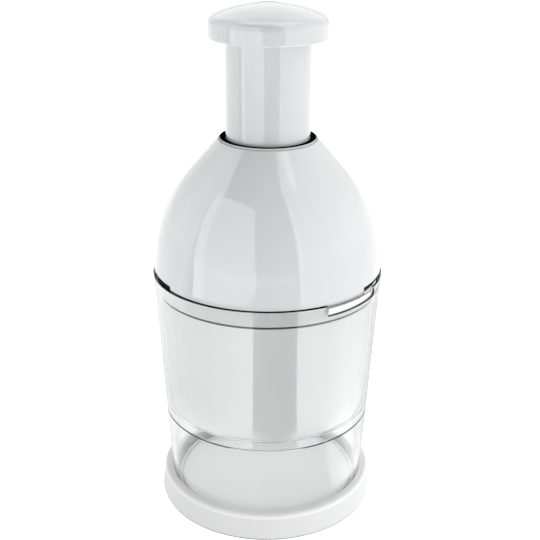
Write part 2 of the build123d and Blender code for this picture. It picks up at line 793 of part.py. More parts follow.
def spring_heading(turn):
    """Direction of the wire after a number of turns, from the rise over a quarter turn each way."""
    angle = 2 * math.pi * turn
    low = max(0, turn - 1 / 4)
    high = min(spring_turns, turn + 1 / 4)
    rise = (spring_height(high) - spring_height(low)) / (high - low) / (2 * math.pi)
    return Vector(-spring_radius * math.sin(angle), spring_radius * math.cos(angle), rise).normalized()


def biarc_middle(start, heading, end, arrival):
    """Point and heading where two arcs meet that join two points with given headings."""
    chord = end - start
    lean = chord.dot(heading + arrival)
    bend = 2 * (1 - heading.dot(arrival))
    reach = (math.sqrt(lean ** 2 + bend * chord.dot(chord)) - lean) / bend
    before = start + heading * reach
    after = end - arrival * reach
    return (before + after) / 2, (after - before).normalized()


with BuildPart() as return_spring:
    with BuildLine() as wire_path:
        for quarter in range(4 * spring_turns):
            start = spring_point(quarter / 4)
            end = spring_point((quarter + 1) / 4)
            heading = spring_heading(quarter / 4)
            arrival = spring_heading((quarter + 1) / 4)
            middle, crossing = biarc_middle(start, heading, end, arrival)
            TangentArc(start, middle, tangent=heading)
            TangentArc(middle, end, tangent=crossing)
    with BuildSketch(Plane(spring_point(0), z_dir=spring_heading(0))):
        Circle(spring_wire / 2)
    sweep()
return_spring.part.label = "return_spring"

# Least room between neighbouring turns of the spring, measured on points along the wire
samples_per_turn = 24
points = [spring_point(i / samples_per_turn) for i in range(spring_turns * samples_per_turn + 1)]
least = min((points[j] - points[i]).length
            for i in range(len(points))
            for j in range(i + samples_per_turn // 2, len(points)))
print(f"return_spring: least gap to itself {least - spring_wire:.2f} mm, {spring_turns} turns")

pieces = [
    base_cup.part, cutting_mat.part, foot_ring.part, lower_cup.part, hopper.part,
    dome_shell.part, lid_seal.part, neck_bush.part, bridge_plate.part, bridge_screws.part,
    index_ring.part, wiper_ring.part, spring_washer.part, return_spring.part,
    knob.part, knob_plug.part, knob_screw.part, plunger_tube.part, spindle.part, drive_crown.part,
    spring_cap.part, thrust_washer.part, spindle_clip.part,
    blade_holder.part, index_crown.part, crown_screws.part, *blades.values(),
    wiper_sleeve.part, wiper_plate.part,
]
os.makedirs("parts", exist_ok=True)
for piece in pieces:
    export_step(piece, f"parts/{piece.label}.step")
print(f"{len(pieces)} pieces, {knob_top:.1f} mm tall, {2 * rim_radius:.1f} mm across")
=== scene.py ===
# %% [markdown]
# # A push-down vegetable chopper in a bright studio
#
# The chopper comes from CAD: every solid is already the right size and in the right place, in metres.
# This lesson dresses it. Each step says what a piece or a finish is on the real object, how it could be
# made in Blender, and why it is made the way it is here.

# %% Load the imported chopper
import math

import bmesh
import bpy
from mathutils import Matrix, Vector


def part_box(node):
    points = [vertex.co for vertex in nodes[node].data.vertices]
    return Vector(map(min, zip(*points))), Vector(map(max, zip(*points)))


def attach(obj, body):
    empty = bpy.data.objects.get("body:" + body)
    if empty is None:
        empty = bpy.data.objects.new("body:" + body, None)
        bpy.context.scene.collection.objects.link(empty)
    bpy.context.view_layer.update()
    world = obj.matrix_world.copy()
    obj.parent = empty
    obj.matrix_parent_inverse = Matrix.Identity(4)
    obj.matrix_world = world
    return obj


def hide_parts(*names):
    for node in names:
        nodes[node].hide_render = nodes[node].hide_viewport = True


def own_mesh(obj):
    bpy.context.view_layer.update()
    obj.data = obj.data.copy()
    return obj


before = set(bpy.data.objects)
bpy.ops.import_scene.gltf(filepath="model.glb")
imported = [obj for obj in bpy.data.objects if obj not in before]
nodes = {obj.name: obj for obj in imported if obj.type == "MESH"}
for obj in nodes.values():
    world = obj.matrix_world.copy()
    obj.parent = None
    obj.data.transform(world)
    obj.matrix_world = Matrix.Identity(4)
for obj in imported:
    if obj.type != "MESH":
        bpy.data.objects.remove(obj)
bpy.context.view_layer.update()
scene = bpy.context.scene

# %% [markdown]
# ## The camera
#
# The picture is taken from close by and a little above, so the knob looks larger for its size than the
# base does. A camera could be aimed with a tracking constraint, but a height, a distance and a tilt say
# the same with a few numbers that can be read. Depth of field stays off, because the whole object is sharp.

# %% Place the camera
CAMERA_DISTANCE = 0.425
CAMERA_HEIGHT = 0.2805
CAMERA_OFFSET = 0.0012
CAMERA_TILT = math.radians(22.03)
CAMERA_ROLL = math.radians(0.35)
LENS = 68.53
SENSOR_WIDTH = 36
CLIP_START = 0.01

camera_data = bpy.data.cameras.new("camera")
camera_data.lens = LENS
camera_data.sensor_width = SENSOR_WIDTH
camera_data.clip_start = CLIP_START
camera = bpy.data.objects.new("camera", camera_data)
camera.location = (CAMERA_OFFSET, -CAMERA_DISTANCE, CAMERA_HEIGHT)
camera.rotation_mode = "ZYX"
camera.rotation_euler = (math.pi / 2 - CAMERA_TILT, 0, CAMERA_ROLL)
scene.collection.objects.link(camera)
scene.camera = camera
print(f"camera {CAMERA_DISTANCE} m in front, {math.degrees(CAMERA_TILT):.1f} degrees down")

# %% [markdown]
# ## Small helpers for shaders
#
# A shader is a tree of nodes. It could be drawn by hand in the shader editor, but a script gives the same
# tree every time. Four helpers keep the cells short: they add a node and set its inputs, start a node
# group with named sockets, find a point in its piece's own frame, and stretch a value to another range.
# In Blender 4.5 a group's sockets belong to its interface.


# %% Helpers that add nodes and start groups
def add_node(tree, kind, inputs=None, **settings):
    """Adds a node, sets its properties, and sets or links its inputs by name or number."""
    node = tree.nodes.new(kind)
    for name, value in settings.items():
        setattr(node, name, value)
    for name, value in (inputs or {}).items():
        if isinstance(value, bpy.types.NodeSocket):
            tree.links.new(value, node.inputs[name])
        else:
            node.inputs[name].default_value = value
    return node


def start_group(name, inputs, outputs):
    """Starts a shader node group; inputs are (name, value) pairs and outputs are names."""
    group = bpy.data.node_groups.new(name, "ShaderNodeTree")
    for label, value in inputs:
        socket = group.interface.new_socket(label, in_out="INPUT", socket_type="NodeSocketFloat")
        socket.default_value = value
    for label in outputs:
        group.interface.new_socket(label, in_out="OUTPUT", socket_type="NodeSocketFloat")
    return group, add_node(group, "NodeGroupInput"), add_node(group, "NodeGroupOutput")


def object_point(tree):
    """The point's place in the piece's own frame, in metres, so a pattern moves with its piece."""
    return add_node(tree, "ShaderNodeTexCoord").outputs["Object"]


def remap(tree, value, low, high, to_low=0.0, to_high=1.0):
    """Stretches a value from one range to another and clamps it."""
    node = add_node(tree, "ShaderNodeMapRange", {"Value": value, "From Min": low, "From Max": high,
                                                 "To Min": to_low, "To Max": to_high})
    return node.outputs["Result"]


print("shader helpers ready")

# %% [markdown]
# ## Effects that several finishes share
#
# Moulded plastic is never quite flat: the tool leaves a faint skin, and the gloss drifts slowly over
# the surface. Handling leaves hairlines. Steel is drawn, brushed or turned, and its grain runs one way.
# Each effect could be drawn again in every material, but then a change would have to be made many times.
# So each is one node group with its own sizes as inputs, built once and placed in every material that
# needs it. Groups only hand out heights and masks; the shader itself stays in each material.

# %% Group: moulded skin
DRIFT_RANGE = (0.3, 0.7)

skin, given, result = start_group(
    "moulded skin", [("Grain per metre", 900.0), ("Drift per metre", 30.0)], ["Height", "Drift"])
here = object_point(skin)
grain = add_node(skin, "ShaderNodeTexNoise", {"Vector": here, "Scale": given.outputs["Grain per metre"],
                                              "Detail": 3.0, "Roughness": 0.55})
drift = add_node(skin, "ShaderNodeTexNoise", {"Vector": here, "Scale": given.outputs["Drift per metre"],
                                              "Detail": 2.0})
skin.links.new(grain.outputs["Fac"], result.inputs["Height"])
skin.links.new(remap(skin, drift.outputs["Fac"], *DRIFT_RANGE), result.inputs["Drift"])
print("group", skin.name)

# %% Group: hairlines
HAIRLINE_TURNS = (0.35, 1.4, 2.5)
HAIRLINE_LEAN = (0.6, 0.3, 1.0)
HAIRLINE_STRETCH = (1.0, 0.04, 0.3)
SHARE_TO_WIDTH = 0.1

hairlines, given, result = start_group(
    "hairlines", [("Lines per metre", 400.0), ("Share", 0.06)], ["Mask"])
thin = add_node(hairlines, "ShaderNodeMath", {0: given.outputs["Share"], 1: SHARE_TO_WIDTH},
                operation="MULTIPLY")
masks = []
for turn in HAIRLINE_TURNS:
    turned = add_node(hairlines, "ShaderNodeMapping", {"Vector": object_point(hairlines),
                                                       "Rotation": [turn * lean for lean in HAIRLINE_LEAN],
                                                       "Scale": HAIRLINE_STRETCH})
    lines = add_node(hairlines, "ShaderNodeTexNoise", {"Vector": turned.outputs["Vector"], "Detail": 1.0,
                                                       "Scale": given.outputs["Lines per metre"]})
    middle = add_node(hairlines, "ShaderNodeMath", {0: lines.outputs["Fac"], 1: 0.5}, operation="SUBTRACT")
    near = add_node(hairlines, "ShaderNodeMath", {0: middle.outputs[0]}, operation="ABSOLUTE")
    masks.append(add_node(hairlines, "ShaderNodeMath", {0: near.outputs[0], 1: thin.outputs[0]},
                          operation="LESS_THAN").outputs[0])
both = add_node(hairlines, "ShaderNodeMath", {0: masks[0], 1: masks[1]}, operation="MAXIMUM")
every = add_node(hairlines, "ShaderNodeMath", {0: both.outputs[0], 1: masks[2]}, operation="MAXIMUM")
hairlines.links.new(every.outputs[0], result.inputs["Mask"])
print("group", hairlines.name)

# %% Group: metal grain
STREAK_RANGE = (0.25, 0.75)

metal_grain, given, result = start_group(
    "metal grain", [("Across per metre", 6000.0), ("Along per metre", 120.0)], ["Height", "Streak"])
place = add_node(metal_grain, "ShaderNodeSeparateXYZ", {"Vector": object_point(metal_grain)})
stretched = []
for axis, rate in (("X", "Along per metre"), ("Y", "Along per metre"), ("Z", "Across per metre")):
    stretched.append(add_node(metal_grain, "ShaderNodeMath", {0: place.outputs[axis], 1: given.outputs[rate]},
                              operation="MULTIPLY").outputs[0])
grain_point = add_node(metal_grain, "ShaderNodeCombineXYZ", dict(zip("XYZ", stretched)))
streaks = add_node(metal_grain, "ShaderNodeTexNoise", {"Vector": grain_point.outputs["Vector"], "Scale": 1.0,
                                                       "Detail": 4.0})
metal_grain.links.new(streaks.outputs["Fac"], result.inputs["Height"])
metal_grain.links.new(remap(metal_grain, streaks.outputs["Fac"], *STREAK_RANGE), result.inputs["Streak"])
print("group", metal_grain.name)

# %% [markdown]
# ## From effects to materials
#
# Every finish below is a Principled shader. It could be mixed from separate shaders for colour and for
# gloss, but one shader keeps the two in balance. Its colour, its roughness and its bump vary with the
# shared effects; what is the same all over the piece, such as the coat or the index of refraction, is set
# straight on the shader.


# %% Helpers that start a material, place an effect, mix two colours and make a bump
def start_material(name, **plain):
    """A new material with a Principled shader whose plain values are set by socket name."""
    material = bpy.data.materials.new(name)
    material.use_nodes = True
    tree = material.node_tree
    shader = tree.nodes["Principled BSDF"]
    for label, value in plain.items():
        shader.inputs[label.replace("_", " ")].default_value = value
    return material, tree, shader


def place_group(tree, group, **values):
    """Places a shared effect in a material with its own values."""
    node = add_node(tree, "ShaderNodeGroup", node_tree=group)
    for label, value in values.items():
        node.inputs[label.replace("_", " ")].default_value = value
    return node


def mix_colours(tree, factor, first, second):
    """A colour between two, by a factor that varies over the surface."""
    node = add_node(tree, "ShaderNodeMix", data_type="RGBA")
    sockets = {s.identifier: s for s in node.inputs}
    tree.links.new(factor, sockets["Factor_Float"])
    for label, value in (("A_Color", first), ("B_Color", second)):
        if isinstance(value, bpy.types.NodeSocket):
            tree.links.new(value, sockets[label])
        else:
            sockets[label].default_value = (*value, 1.0)
    return next(s for s in node.outputs if s.identifier == "Result_Color")


def bump_from(tree, height, shader, depth):
    """Turns a height into a bump of a depth in metres and feeds it to the shader."""
    bump = add_node(tree, "ShaderNodeBump", {"Height": height, "Distance": depth})
    tree.links.new(bump.outputs["Normal"], shader.inputs["Normal"])


print("material helpers ready")

# %% [markdown]
# ## Plastics
#
# The dome, the knob, the plunger and the base are injection-moulded in white, polished on the dome, the
# knob and the plunger and satin on the base. The sleeve and the plates inside are the same plastic from a
# duller tool, the ratchet pieces are a slippery, slightly yellow bearing plastic, and the bush in the
# dome's mouth is black with a paler rim. One function makes them all, because they differ only in colour,
# gloss and grain. The same function also paints light and shade into the colour: painted light on the
# dome's skirt behind the clear hopper, on the base's floor inside the cup and on the base's top edge, and a
# painted shadow line at the top of the sleeve. That could be painted on a texture, but every piece is
# round, so a height or a radius says where the painted tone starts.


# %% A function for moulded plastic
def measure(tree, along):
    """A point's height, or its radius from the axis, in metres."""
    place = add_node(tree, "ShaderNodeSeparateXYZ", {"Vector": object_point(tree)})
    if along == "Z":
        return place.outputs["Z"]
    level = add_node(tree, "ShaderNodeCombineXYZ", {"X": place.outputs["X"], "Y": place.outputs["Y"]})
    return add_node(tree, "ShaderNodeVectorMath", {0: level.outputs["Vector"]},
                    operation="LENGTH").outputs["Value"]


SIDES = {"below": ("Z", 1), "above": ("Z", 0), "within": ("radius", 1), "beyond": ("radius", 0)}
TONE_FADE = 0.0001
GLOSS_DRIFT = 1.25
RUBBED_ROUGHNESS = 0.06


def moulded_plastic(name, colour, shade, gloss, grain_per_metre, depth, coat, shine=0.5, **tones_and_painted_light):
    """Moulded plastic: colour and gloss drift between two values, over a fine skin. It takes another
    tone below or above a height, and within or beyond a radius, where these are given: painted light and
    painted shade on some pieces, and the paler rim of the bush."""
    material, tree, shader = start_material(name, IOR=1.5, Specular_IOR_Level=shine, Coat_Weight=coat,
                                            Coat_Roughness=0.04)
    effect = place_group(tree, skin, Grain_per_metre=grain_per_metre, Drift_per_metre=26.0)
    marks = place_group(tree, hairlines, Lines_per_metre=520.0, Share=0.05)
    body = mix_colours(tree, effect.outputs["Drift"], colour, shade)
    # Painted light and painted shade, and the bush's paler rim, are mixed into the colour here by height or
    # radius.
    for side, (edge, tone) in tones_and_painted_light.items():
        along, inside = SIDES[side]
        changed = remap(tree, measure(tree, along), edge, edge + TONE_FADE, inside, 1 - inside)
        body = mix_colours(tree, changed, body, (tone, tone, tone))
    tree.links.new(body, shader.inputs["Base Color"])
    drifting = remap(tree, effect.outputs["Drift"], 0, 1, gloss, gloss * GLOSS_DRIFT)
    rubbed = remap(tree, marks.outputs["Mask"], 0, 1, 0, RUBBED_ROUGHNESS)
    total = add_node(tree, "ShaderNodeMath", {0: drifting, 1: rubbed}, operation="ADD")
    tree.links.new(total.outputs[0], shader.inputs["Roughness"])
    bump_from(tree, effect.outputs["Height"], shader, depth)
    return material


print("plastic function ready, tones change", ", ".join(SIDES))

# %% Make the moulded plastics
# Heights and radii where painted light and painted shade start on the dome, the base and the sleeve, and
# where the bush's rim turns paler.
MAT_RECESS = 0.0025
BASE_EDGE = 0.002
BUSH_MOUTH = 0.0016
SLEEVE_SHADE_BAND = 0.00025

hopper_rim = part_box("hopper")[1].z
mat_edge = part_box("cutting_mat")[1].x + MAT_RECESS
base_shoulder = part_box("base_cup")[1].z - BASE_EDGE
bush_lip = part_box("plunger_tube")[1].x + BUSH_MOUTH
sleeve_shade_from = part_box("wiper_sleeve")[1].z - SLEEVE_SHADE_BAND
plastics = {
    "polished white": dict(colour=(0.59, 0.595, 0.60), shade=(0.575, 0.58, 0.59), gloss=0.06,
                           grain_per_metre=700.0, depth=0.000006, coat=1.0),
    # The dome's skirt below the hopper's rim, seen through the clear wall, is painted paler: painted light.
    "dome white": dict(colour=(0.63, 0.635, 0.64), shade=(0.615, 0.62, 0.63), gloss=0.06,
                       grain_per_metre=700.0, depth=0.000006, coat=1.0, below=(hopper_rim, 0.783)),
    "satin white": dict(colour=(0.80, 0.80, 0.80), shade=(0.785, 0.79, 0.795), gloss=0.34,
                        grain_per_metre=1500.0, depth=0.000012, coat=0.0),
    # The base is painted lighter on its floor inside the cup and along its top edge: painted light.
    "base white": dict(colour=(0.70, 0.702, 0.705), shade=(0.68, 0.683, 0.688), gloss=0.5,
                       grain_per_metre=1500.0, depth=0.000012, coat=0.0, shine=0.1,
                       within=(mat_edge, 0.76), above=(base_shoulder, 0.79)),
    # The top of the sleeve, under the dome's skirt, is painted dark: a painted shadow line in the gap.
    "sleeve white": dict(colour=(0.84, 0.843, 0.846), shade=(0.82, 0.824, 0.828), gloss=0.16,
                         grain_per_metre=1300.0, depth=0.00002, coat=1.0, above=(sleeve_shade_from, 0.2)),
    "bearing plastic": dict(colour=(0.74, 0.73, 0.69), shade=(0.71, 0.70, 0.66), gloss=0.3,
                            grain_per_metre=1200.0, depth=0.000008, coat=0.0),
    "bush black": dict(colour=(0.002, 0.002, 0.002), shade=(0.004, 0.004, 0.004), gloss=0.5,
                       grain_per_metre=1600.0, depth=0.00002, coat=0.0, shine=0.0, beyond=(bush_lip, 0.6)),
}
finishes = {name: moulded_plastic(name, **values) for name, values in plastics.items()}
print(len(finishes), "moulded plastics")

# %% [markdown]
# ## Clear walls
#
# The hopper and the cup are clear styrene. A clear look could be faked by letting the background through
# with alpha, but then the wall has no thickness. Real transmission bends the light at both faces, so the
# rims and the parting line draw themselves. Use leaves hairlines that catch the light.

# %% Make the clear plastic
CLEAR_TINT = (0.99, 0.995, 0.995, 1.0)
CLEAR_ROUGHNESS = (0.015, 0.03)
SCRATCH_ROUGHNESS = 0.1
CLEAR_DEPTH = 0.000005

clear, tree, shader = start_material("clear styrene", Transmission_Weight=1.0, IOR=1.49)
shader.inputs["Base Color"].default_value = CLEAR_TINT
effect = place_group(tree, skin, Grain_per_metre=260.0, Drift_per_metre=22.0)
marks = place_group(tree, hairlines, Lines_per_metre=420.0, Share=0.045)
drifting = remap(tree, effect.outputs["Drift"], 0, 1, *CLEAR_ROUGHNESS)
scratched = remap(tree, marks.outputs["Mask"], 0, 1, 0, SCRATCH_ROUGHNESS)
total = add_node(tree, "ShaderNodeMath", {0: drifting, 1: scratched}, operation="ADD")
tree.links.new(total.outputs[0], shader.inputs["Roughness"])
bump_from(tree, effect.outputs["Height"], shader, CLEAR_DEPTH)
finishes["clear"] = clear
print("clear plastic made")

# %% [markdown]
# ## Rubber and the cutting mat
#
# The foot ring and the seal are black rubber, dull and a little dusty. Their black is partly painted shade:
# the seal fills the shadow gap under the dome, and the foot ring's rim draws the dark line of shade under
# the base. The mat is a soft pale plastic that the blades come down on, so it carries fine cuts in all
# directions. The cuts could be modelled as grooves, but they are far finer than a pixel, so the hairlines
# press a bump into the mat instead.

# %% Make the rubber
# Rubber black, which also stands in for the shade in the gap under the dome and under the base.
RUBBER_AND_SHADE_BLACK = (0.003, 0.003, 0.003)
RUBBER_DUSTY = (0.007, 0.007, 0.007)
RUBBER_ROUGHNESS = (0.55, 0.75)
RUBBER_DEPTH = 0.00003

rubber, tree, shader = start_material("black rubber", IOR=1.5, Specular_IOR_Level=0.1)
effect = place_group(tree, skin, Grain_per_metre=2200.0, Drift_per_metre=60.0)
tree.links.new(mix_colours(tree, effect.outputs["Drift"], RUBBER_AND_SHADE_BLACK, RUBBER_DUSTY),
               shader.inputs["Base Color"])
tree.links.new(remap(tree, effect.outputs["Drift"], 0, 1, *RUBBER_ROUGHNESS), shader.inputs["Roughness"])
bump_from(tree, effect.outputs["Height"], shader, RUBBER_DEPTH)
finishes["rubber"] = rubber
print("rubber made")

# %% Make the cutting mat
MAT_PALE = (0.93, 0.934, 0.934)
MAT_WORN = (0.90, 0.906, 0.91)
MAT_CUT = (0.91, 0.915, 0.915)
MAT_ROUGHNESS = (0.48, 0.6)
CUT_DEPTH = 0.00001

mat_finish, tree, shader = start_material("cutting mat", IOR=1.48)
effect = place_group(tree, skin, Grain_per_metre=1800.0, Drift_per_metre=40.0)
cuts = place_group(tree, hairlines, Lines_per_metre=260.0, Share=0.06)
pale = mix_colours(tree, effect.outputs["Drift"], MAT_PALE, MAT_WORN)
tree.links.new(mix_colours(tree, cuts.outputs["Mask"], pale, MAT_CUT), shader.inputs["Base Color"])
tree.links.new(remap(tree, effect.outputs["Drift"], 0, 1, *MAT_ROUGHNESS), shader.inputs["Roughness"])
bump_from(tree, cuts.outputs["Mask"], shader, -CUT_DEPTH)
finishes["mat"] = mat_finish
print("cutting mat made")

# %% [markdown]
# ## Steel
#
# The blades are strip steel with the rolling grain along the strip and a ground edge that is brighter.
# The spindle is turned, so its marks run round it; the spring is drawn wire, and the screws are plated.
# One function makes them from the same grain with other sizes. The ground edge is a mask by height,
# because the edge is the lowest part of each blade. It could be painted on, but a height is exact.

# %% A function for steel
STREAK_ROUGHNESS = 0.12
STAIN_ROUGHNESS = 0.06
GROUND_POLISH = -0.14
GROUND_COLOUR = (0.84, 0.85, 0.86)


def steel(name, colour, dull, gloss, across, along, depth, anisotropy, ground_edge=None):
    """Steel with a grain that runs one way, and a brighter ground edge below a height if one is given."""
    material, tree, shader = start_material(name, Metallic=1.0, Anisotropic=anisotropy)
    effect = place_group(tree, metal_grain, Across_per_metre=across, Along_per_metre=along)
    drift_effect = place_group(tree, skin, Grain_per_metre=900.0, Drift_per_metre=70.0)
    body = mix_colours(tree, effect.outputs["Streak"], colour, dull)
    roughness = remap(tree, effect.outputs["Streak"], 0, 1, gloss, gloss + STREAK_ROUGHNESS)
    stained = remap(tree, drift_effect.outputs["Drift"], 0, 1, 0, STAIN_ROUGHNESS)
    total = add_node(tree, "ShaderNodeMath", {0: roughness, 1: stained}, operation="ADD").outputs[0]
    if ground_edge:
        ground = remap(tree, measure(tree, "Z"), ground_edge, ground_edge + TONE_FADE, 1, 0)
        body = mix_colours(tree, ground, body, GROUND_COLOUR)
        polish = remap(tree, ground, 0, 1, 0, GROUND_POLISH)
        total = add_node(tree, "ShaderNodeMath", {0: total, 1: polish}, operation="ADD").outputs[0]
    tree.links.new(body, shader.inputs["Base Color"])
    tree.links.new(total, shader.inputs["Roughness"])
    bump_from(tree, effect.outputs["Height"], shader, depth)
    return material


print("steel function ready")

# %% Make the steels
BLADE_BEVEL = 0.0016

ground_up_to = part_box("blade_centre")[0].z + BLADE_BEVEL
steels = {
    "blade steel": dict(colour=(0.66, 0.67, 0.69), dull=(0.52, 0.53, 0.55), gloss=0.24, across=5200.0,
                        along=90.0, depth=0.000006, anisotropy=0.5, ground_edge=ground_up_to),
    "turned steel": dict(colour=(0.63, 0.64, 0.66), dull=(0.54, 0.55, 0.57), gloss=0.2, across=7000.0,
                         along=30.0, depth=0.000005, anisotropy=0.4),
    "spring steel": dict(colour=(0.58, 0.59, 0.61), dull=(0.46, 0.47, 0.49), gloss=0.26, across=1500.0,
                         along=1500.0, depth=0.000005, anisotropy=0.2),
    "plated steel": dict(colour=(0.64, 0.65, 0.66), dull=(0.55, 0.56, 0.58), gloss=0.22, across=2500.0,
                         along=2500.0, depth=0.000004, anisotropy=0.0),
}
finishes.update({name: steel(name, **values) for name, values in steels.items()})
print(len(steels), "steels, blades ground up to", round(ground_up_to, 4), "m")

# %% [markdown]
# ## Dress the solids
#
# Each solid takes the finish that its real piece has. A table of finish to pieces is easier to check
# than a list of assignments, and the last line of the cell proves that no solid was forgotten. The clear
# walls cast no shadow, because light that is bent on its way through them would take far longer to trace.

# %% Give every solid its finish
wearers = {
    "polished white": ["knob", "knob_plug", "plunger_tube"],
    "dome white": ["dome_shell"],
    "base white": ["base_cup"],
    "satin white": ["wiper_plate", "wiper_ring", "blade_holder", "bridge_plate"],
    "sleeve white": ["wiper_sleeve"],
    "clear": ["hopper", "lower_cup"],
    "bearing plastic": ["index_ring", "index_crown", "drive_crown"],
    "bush black": ["neck_bush"],
    "rubber": ["lid_seal", "foot_ring"],
    "mat": ["cutting_mat"],
    "blade steel": ["blade_centre", "blade_front", "blade_back"],
    "turned steel": ["spindle", "thrust_washer", "spindle_clip", "spring_washer", "spring_cap"],
    "spring steel": ["return_spring"],
    "plated steel": ["bridge_screws", "crown_screws", "knob_screw"],
}
for finish, names in wearers.items():
    for name in names:
        slots = nodes[name].data.materials
        slots.clear()
        slots.append(finishes[finish])
for name in wearers["clear"]:
    nodes[name].visible_shadow = False
undressed = set(nodes) - {name for names in wearers.values() for name in names}
print("solids without a finish:", sorted(undressed) or "none")

# %% [markdown]
# ## The return spring
#
# The spring is a wound steel wire with closed turns at both ends, and it is pressed short with every
# stroke. A curve with a round bevel would do, but a squashed piece has to be a mesh, so the wire is
# swept: a ring of points is carried along the winding. Its size is read from the CAD solid.

# %% Follow the wire
SPRING_TURNS = 11
SPRING_WIRE = 0.002
SPRING_END_PITCH = 0.0026

low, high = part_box("return_spring")
coil_radius = (high.x - low.x - SPRING_WIRE) / 2
coil_low = low.z + SPRING_WIRE / 2
coil_high = high.z - SPRING_WIRE / 2
open_turns = SPRING_TURNS - 2
open_pitch = (coil_high - coil_low - 2 * SPRING_END_PITCH) / open_turns


def wire_height(turn):
    """Height of the wire's middle after a number of turns."""
    closed = min(turn, 1) + max(0, turn - 1 - open_turns)
    opened = min(max(0, turn - 1), open_turns)
    return coil_low + closed * SPRING_END_PITCH + opened * open_pitch


def wire_point(turn):
    """Middle of the wire after a number of turns."""
    angle = 2 * math.pi * turn
    return Vector((coil_radius * math.cos(angle), coil_radius * math.sin(angle), wire_height(turn)))


print(f"wire of {SPRING_TURNS} turns, the open ones {open_pitch * 1000:.2f} mm apart")

# %% Wind the spring
STEPS_PER_TURN = 48
WIRE_SIDES = 14
SLOPE_STEP = 0.02


def wire_ring(mesh, turn):
    """One ring of points round the wire, square to it."""
    middle = wire_point(turn)
    before, after = max(turn - SLOPE_STEP, 0), min(turn + SLOPE_STEP, SPRING_TURNS)
    ahead = (wire_point(after) - wire_point(before)).normalized()
    outward = Vector((middle.x, middle.y, 0)).normalized()
    across = ahead.cross(outward).normalized()
    ring = []
    for side in range(WIRE_SIDES):
        angle = 2 * math.pi * side / WIRE_SIDES
        offset = outward * math.cos(angle) + across * math.sin(angle)
        ring.append(mesh.verts.new(middle + offset * (SPRING_WIRE / 2)))
    return ring


winding = bmesh.new()
rings = [wire_ring(winding, step / STEPS_PER_TURN) for step in range(SPRING_TURNS * STEPS_PER_TURN + 1)]
for before, after in zip(rings, rings[1:]):
    for side in range(WIRE_SIDES):
        following = (side + 1) % WIRE_SIDES
        winding.faces.new((before[side], before[following], after[following], after[side]))
winding.faces.new(reversed(rings[0]))
winding.faces.new(rings[-1])
bmesh.ops.recalc_face_normals(winding, faces=winding.faces)
coil_mesh = bpy.data.meshes.new("wound_spring")
winding.to_mesh(coil_mesh)
winding.free()
for face in coil_mesh.polygons:
    face.use_smooth = len(face.vertices) == 4
coil = bpy.data.objects.new("wound_spring", coil_mesh)
scene.collection.objects.link(coil)
coil_mesh.materials.append(finishes["spring steel"])
print(f"spring wound: {len(coil_mesh.polygons)} faces")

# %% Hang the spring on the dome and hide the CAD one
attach(coil, "dome")
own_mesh(coil)
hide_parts("return_spring")

# %% [markdown]
# ## Floor and backdrop
#
# Product photographs like this one stand on a bright, seamless white. The floor is a large pale disc that
# glows, as a light table does, so no horizon shows. White gloss mirrors the table, which isn't equally
# bright all over. Cards could be laid out on it, but then each would have to be kept out of the picture.
# Instead a Light Path node tells mirrored rays from straight ones, and mirrored rays meet three rings,
# close, near and far, each with a brightness for every bearing. The floor is stage, and not part of the
# chopper.


# %% Helpers for flat stage pieces and for light that changes with the bearing
def flat_piece(name, corners, material):
    """A flat stage piece from its corners."""
    mesh = bpy.data.meshes.new(name)
    mesh.from_pydata(corners, [], [list(range(len(corners)))])
    mesh.materials.append(material)
    piece = bpy.data.objects.new(name, mesh)
    scene.collection.objects.link(piece)
    return piece


def light_round(tree, direction, stops):
    """A brightness for every bearing round the axis, in degrees from the camera towards the right."""
    place = add_node(tree, "ShaderNodeSeparateXYZ", {"Vector": direction})
    forward = add_node(tree, "ShaderNodeMath", {0: place.outputs["Y"], 1: -1.0}, operation="MULTIPLY")
    bearing = add_node(tree, "ShaderNodeMath", {0: place.outputs["X"], 1: forward.outputs[0]},
                       operation="ARCTAN2")
    ramp = add_node(tree, "ShaderNodeValToRGB", {"Fac": remap(tree, bearing.outputs[0], -math.pi, math.pi)})
    while len(ramp.color_ramp.elements) < len(stops):
        ramp.color_ramp.elements.new(0.5)
    for stop, (degrees, brightness) in zip(ramp.color_ramp.elements, stops):
        stop.position = (degrees + 180) / 360
        stop.color = (brightness, brightness, brightness, 1.0)
    return ramp.outputs["Color"]


print("stage helpers ready")

# %% Lay the floor
FLOOR_RADIUS = 6.0
FLOOR_SIDES = 64
FLOOR_BLACK = (0.0, 0.0, 0.0)
FLOOR_PALE = (0.86, 0.86, 0.86)
FLOOR_GLOW_SPREAD = 0.62
FLOOR_GLOW_SEEN = 0.7
FLOOR_CLOSE = [(-180, 1.0), (-90, 1.0), (-60, 1.15), (55, 1.15), (61, 2.0), (84, 2.0), (100, 1.1),
               (140, 0.8), (180, 1.0)]
FLOOR_NEAR = [(-180, 1.1), (-150, 1.05), (-125, 0.85), (-105, 0.7), (-82, 0.56), (-55, 0.65), (-31, 1.15),
              (-13, 1.6), (28, 1.65), (80, 1.5), (98, 1.2), (118, 0.9), (140, 0.85), (180, 1.1)]
FLOOR_FAR = [(-180, 1.1), (-125, 1.0), (-86, 0.9), (-79, 0.35), (30, 0.35), (33, 1.0), (85, 1.0), (180, 1.1)]
CLOSE_FADES = (0.1, 0.12)
FAR_FADES = (0.22, 0.27)

